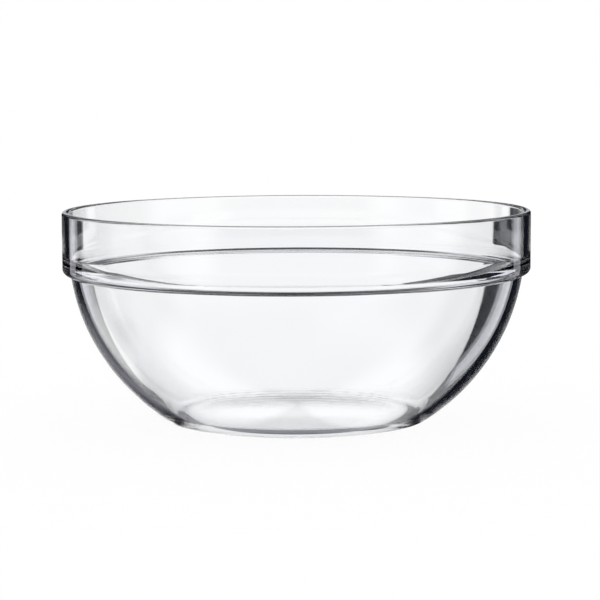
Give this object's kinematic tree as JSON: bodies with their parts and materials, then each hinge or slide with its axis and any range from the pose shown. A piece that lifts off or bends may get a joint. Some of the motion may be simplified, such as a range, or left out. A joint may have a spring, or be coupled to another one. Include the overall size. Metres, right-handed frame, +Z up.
{
  "type": "side dish bowl",
  "caption": "Clear pressed glass side dish bowl with a straight rim band, an outer shoulder for stacking, an inner neck and ledge, a rounded body and a flat ring foot.",
  "frame": {"origin": "centre of the ring foot, on the table plane", "axes": "+Z up along the bowl's axis, from the foot to the rim; the bowl is round, so +X and +Y are free"},
  "size_m": [0.14, 0.14, 0.0637],
  "materials": {
    "clear_glass": "clear pressed glass, fire polished"
  },
  "bodies": {
    "root": {"glass_bowl": "clear_glass"}
  },
  "joints": []
}
